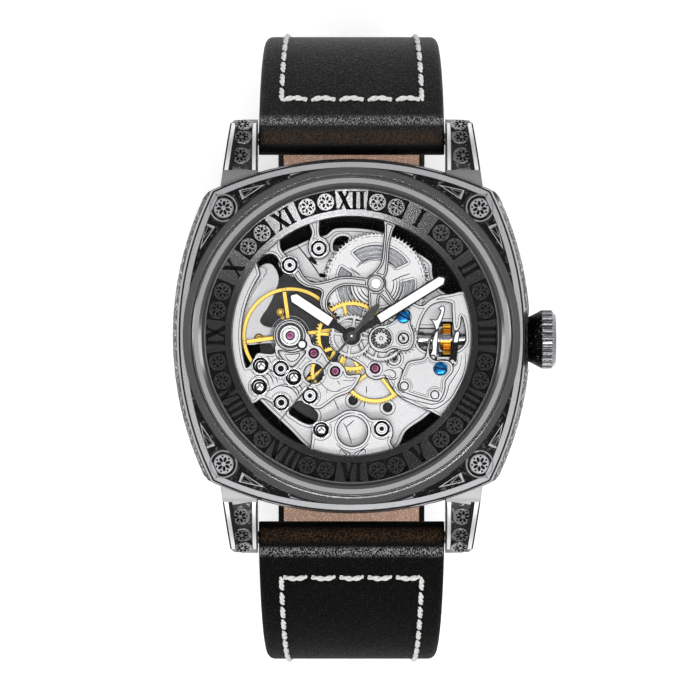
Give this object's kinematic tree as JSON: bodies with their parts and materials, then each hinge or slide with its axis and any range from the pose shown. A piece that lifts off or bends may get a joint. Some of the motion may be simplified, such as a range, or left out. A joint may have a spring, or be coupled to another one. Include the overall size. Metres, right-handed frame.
{
  "type": "square wristwatch",
  "caption": "Cushion-square skeleton wristwatch with a round bezel, Roman numeral ring, open hand-wound movement, fluted crown and a closed, buckled leather strap.",
  "frame": {"origin": "centre of the flat outer face of the case back", "axes": "+Z out of the dial, +Y to twelve o'clock, +X to the crown at three o'clock"},
  "size_m": [0.0488, 0.0814, 0.0605],
  "materials": {
    "gunmetal": "polished gunmetal with an engraved pattern",
    "bright_steel": "polished",
    "plate_steel": "silvered, finely frosted",
    "ornament": "polished relief on a dark ground",
    "dial": "satin ring with black numerals and windows",
    "black_ring": "matt black",
    "brass": "polished",
    "blued": "blued steel",
    "ruby": "polished synthetic ruby",
    "glass": "clear",
    "seal": "matt",
    "hand": "dark grey, satin",
    "pale_insert": "white luminous filling",
    "leather": "black grained leather, semi-gloss, brown lining"
  },
  "bodies": {
    "case": {"case_middle": "gunmetal", "bezel": "gunmetal", "crystal": "glass", "crystal_gasket": "seal", "case_back": "gunmetal", "case_back_glass": "glass", "case_back_gasket": "seal", "case_ornaments": "ornament", "dial_ring": "dial", "movement_ring": "black_ring", "crown_tube": "gunmetal", "setting_cover": "plate_steel", "motion_cover": "plate_steel", "pallet_bridge": "plate_steel", "hairspring": "bright_steel", "balance_cock": "plate_steel", "regulator": "brass", "shock_setting": "bright_steel", "main_plate": "plate_steel", "front_bridge": "plate_steel", "train_bridge": "plate_steel", "barrel_bridge": "plate_steel", "jewels": "ruby", "bridge_screws": "bright_steel", "blue_screws": "blued", "spring_bars": "bright_steel", "strap_short": "leather", "strap_long": "leather", "buckle_frame": "gunmetal", "fixed_keeper": "leather"},
    "seconds": {"seconds_pinion": "bright_steel", "seconds_hand": "hand"},
    "minutes": {"centre_wheel": "brass", "cannon_pinion": "bright_steel", "minute_hand": "hand", "minute_insert": "pale_insert"},
    "hours": {"hour_wheel": "plate_steel", "hour_hand": "hand", "hour_insert": "pale_insert"},
    "third": {"third_wheel": "brass"},
    "fourth": {"fourth_wheel": "brass"},
    "escape": {"escape_wheel": "bright_steel"},
    "pallets": {"pallet_fork": "bright_steel"},
    "balance": {"balance_wheel": "brass"},
    "drum": {"barrel": "plate_steel", "mainspring": "bright_steel"},
    "minute_works": {"minute_wheel": "plate_steel"},
    "setting": {"setting_wheel": "plate_steel"},
    "winding": {"winding_pinion": "brass"},
    "crown": {"crown": "gunmetal", "winding_stem": "bright_steel"},
    "clutch": {"sliding_pinion": "bright_steel"},
    "lever": {"setting_lever": "bright_steel"},
    "yoke": {"yoke": "bright_steel"},
    "crown_wheel": {"crown_wheel": "plate_steel"},
    "ratchet": {"ratchet_wheel": "plate_steel", "barrel_arbor": "bright_steel"},
    "click": {"click": "plate_steel"},
    "tongue": {"buckle_tongue": "gunmetal"},
    "keeper": {"free_keeper": "leather"}
  },
  "joints": [
    {"name": "seconds_turn", "type": "hinge", "parent": "case", "child": "seconds", "pos_m": [0, 0, 0.005], "axis": [0, 0, -1], "continuous": true},
    {"name": "minutes_turn", "type": "hinge", "parent": "case", "child": "minutes", "pos_m": [0, 0, 0.005], "axis": [0, 0, -1], "continuous": true},
    {"name": "hours_turn", "type": "hinge", "parent": "case", "child": "hours", "pos_m": [0, 0, 0.005], "axis": [0, 0, -1], "continuous": true},
    {"name": "third_turn", "type": "hinge", "parent": "case", "child": "third", "pos_m": [0.00299, -0.00412, 0.005], "axis": [0, 0, -1], "continuous": true},
    {"name": "fourth_turn", "type": "hinge", "parent": "case", "child": "fourth", "pos_m": [-0.00209, -0.00447, 0.005], "axis": [0, 0, -1], "continuous": true},
    {"name": "escape_turn", "type": "hinge", "parent": "case", "child": "escape", "pos_m": [-0.00481, -0.00219, 0.005], "axis": [0, 0, -1], "continuous": true},
    {"name": "drum_turn", "type": "hinge", "parent": "case", "child": "drum", "pos_m": [0.00309, 0.00669, 0.005], "axis": [0, 0, -1], "continuous": true},
    {"name": "minute_works_turn", "type": "hinge", "parent": "case", "child": "minute_works", "pos_m": [0.00376, -0.00028, 0.007], "axis": [0, 0, -1], "continuous": true},
    {"name": "setting_turn", "type": "hinge", "parent": "case", "child": "setting", "pos_m": [0.00659, -0.00028, 0.007], "axis": [0, 0, -1], "continuous": true},
    {"name": "balance_swing", "type": "hinge", "parent": "case", "child": "balance", "pos_m": [-0.0078, 0.00007, 0.004], "axis": [0, 0, 1], "range_deg": [-270, 270], "stiffness_Nm_per_rad": 0.0000014},
    {"name": "pallet_rock", "type": "hinge", "parent": "case", "child": "pallets", "pos_m": [-0.0063, -0.00107, 0.0046], "axis": [0, 0, 1], "range_deg": [-5, 5]},
    {"name": "crown_turn", "type": "hinge", "parent": "case", "child": "winding", "pos_m": [0, -0.0004, 0.0047], "axis": [1, 0, 0], "continuous": true},
    {"name": "crown_wheel_turn", "type": "hinge", "parent": "case", "child": "crown_wheel", "pos_m": [0.00825, -0.0004, 0.0026], "axis": [0, 0, 1], "continuous": true},
    {"name": "ratchet_turn", "type": "hinge", "parent": "case", "child": "ratchet", "pos_m": [0.00309, 0.00669, 0.0026], "axis": [0, 0, 1], "continuous": true},
    {"name": "click_lift", "type": "hinge", "parent": "case", "child": "click", "pos_m": [-0.00281, 0.0101, 0.0026], "axis": [0, 0, 1], "range_deg": [0, 8]},
    {"name": "crown_pull", "type": "slide", "parent": "winding", "child": "crown", "axis": [1, 0, 0], "range_m": [0, 0.0008]},
    {"name": "clutch_slide", "type": "slide", "parent": "winding", "child": "clutch", "axis": [1, 0, 0], "range_m": [-0.00051, 0.00001]},
    {"name": "lever_turn", "type": "hinge", "parent": "case", "child": "lever", "pos_m": [0.0128, -0.00325, 0.0068], "axis": [0, 0, 1], "range_deg": [-16.5, 0.5]},
    {"name": "yoke_turn", "type": "hinge", "parent": "case", "child": "yoke", "pos_m": [0.01035, -0.00275, 0.0068], "axis": [0, 0, 1], "range_deg": [-0.5, 12.7]},
    {"name": "tongue_lift", "type": "hinge", "parent": "case", "child": "tongue", "pos_m": [0, 0.004, -0.04346], "axis": [1, 0, 0], "range_deg": [0, 5]},
    {"name": "keeper_slide", "type": "slide", "parent": "case", "child": "keeper", "axis": [0, 1, 0], "range_m": [-0.0012, 0.0032]}
  ],
  "couplings": [
    {"joint": "minutes_turn", "follows": "seconds_turn", "ratio": 0.016667},
    {"joint": "hours_turn", "follows": "seconds_turn", "ratio": 0.0013889},
    {"joint": "third_turn", "follows": "seconds_turn", "ratio": -0.13333},
    {"joint": "fourth_turn", "follows": "seconds_turn", "ratio": 1},
    {"joint": "escape_turn", "follows": "seconds_turn", "ratio": -9},
    {"joint": "drum_turn", "follows": "seconds_turn", "ratio": -0.0021368},
    {"joint": "minute_works_turn", "follows": "seconds_turn", "ratio": -0.0041667},
    {"joint": "setting_turn", "follows": "seconds_turn", "ratio": 0.0020833},
    {"joint": "crown_wheel_turn", "follows": "crown_turn", "ratio": 0.5},
    {"joint": "ratchet_turn", "follows": "crown_turn", "ratio": -0.34615},
    {"joint": "clutch_slide", "follows": "crown_pull", "ratio": -0.625},
    {"joint": "lever_turn", "follows": "crown_pull", "rad_per_m": -348.38},
    {"joint": "yoke_turn", "follows": "crown_pull", "rad_per_m": 266}
  ]
}
